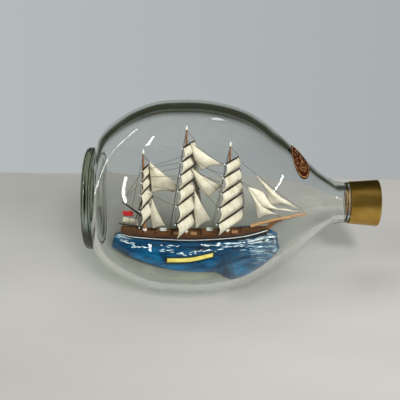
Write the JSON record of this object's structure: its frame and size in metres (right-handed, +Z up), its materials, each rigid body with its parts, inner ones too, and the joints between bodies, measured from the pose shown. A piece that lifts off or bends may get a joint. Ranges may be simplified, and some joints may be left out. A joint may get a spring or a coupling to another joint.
{
  "type": "ship in a bottle",
  "caption": "Full-rigged model ship on a painted putty sea inside a three-sided glass bottle lying on its side, with a gold push-in stopper.",
  "frame": {"origin": "middle of the bottle's length and width, on the surface it lies on", "axes": "+X along the bottle from its foot towards its neck, +Z up, -Y the side that the nameplate faces"},
  "size_m": [0.217, 0.1386, 0.127],
  "materials": {
    "bottle_glass": "clear, slightly green moulded glass",
    "label_paper": "dark red glossy label paper with plain gold lines",
    "gold_metal": "gold lacquered sheet metal, satin",
    "cork": "pressed cork",
    "black_plastic": "moulded plastic",
    "sea_putty": "painted and varnished modelling putty",
    "white_paint": "white enamel paint",
    "plate_yellow": "painted card, blank",
    "plate_black": "painted card",
    "black_wood": "black painted wood",
    "brown_wood": "varnished wood",
    "deck_wood": "bare light wood",
    "fittings_wood": "dark wood",
    "mast_wood": "stained wood",
    "yard_wood": "dark stained wood",
    "hinge_wire": "thin wire",
    "red_paper": "painted paper, plain red",
    "rigging_thread": "waxed thread",
    "sail_paper": "stiff cream paper with a curl"
  },
  "bodies": {
    "bottle": {"bottle": "bottle_glass", "boom": "yard_wood", "bowsprit": "deck_wood", "deck": "deck_wood", "deck_fittings": "fittings_wood", "deckhouses": "brown_wood", "fore_course": "sail_paper", "fore_lower_topsail": "sail_paper", "fore_mast": "mast_wood", "fore_royal": "sail_paper", "fore_topgallant": "sail_paper", "fore_upper_topsail": "sail_paper", "fore_yards": "yard_wood", "gaff": "yard_wood", "hatches": "deck_wood", "hull": "black_wood", "hull_stripe": "white_paint", "inner_jib": "sail_paper", "lifeboats": "white_paint", "main_course": "sail_paper", "main_lower_staysail": "sail_paper", "main_lower_topsail": "sail_paper", "main_mast": "mast_wood", "main_middle_staysail": "sail_paper", "main_royal": "sail_paper", "main_skysail": "sail_paper", "main_topgallant": "sail_paper", "main_upper_staysail": "sail_paper", "main_upper_topsail": "sail_paper", "main_yards": "yard_wood", "mast_bands": "white_paint", "mast_hinge_wires": "hinge_wire", "mast_tips": "white_paint", "middle_jib": "sail_paper", "mizzen_lower_staysail": "sail_paper", "mizzen_lower_topsail": "sail_paper", "mizzen_mast": "mast_wood", "mizzen_royal": "sail_paper", "mizzen_topgallant": "sail_paper", "mizzen_upper_staysail": "sail_paper", "mizzen_upper_topsail": "sail_paper", "mizzen_yards": "yard_wood", "nameplate": "plate_yellow", "nameplate_border": "plate_black", "outer_jib": "sail_paper", "raised_decks": "deck_wood", "red_flag": "red_paper", "running_rigging": "rigging_thread", "sea": "sea_putty", "shoulder_label": "label_paper", "spanker": "sail_paper", "standing_rigging": "rigging_thread", "stem_knee": "brown_wood", "topsides": "brown_wood", "wave_crests": "white_paint", "yard_beads": "white_paint"},
    "stopper": {"stopper_cork": "cork", "stopper_disc": "black_plastic"},
    "cap": {"stopper_cap": "gold_metal"}
  },
  "joints": [
    {"name": "stopper_pull", "type": "slide", "parent": "bottle", "child": "stopper", "axis": [1, 0, 0], "range_m": [0, 0.03]},
    {"name": "cap_twist", "type": "hinge", "parent": "stopper", "child": "cap", "pos_m": [0.1, 0, 0.04995], "axis": [1, 0, 0], "continuous": true}
  ]
}
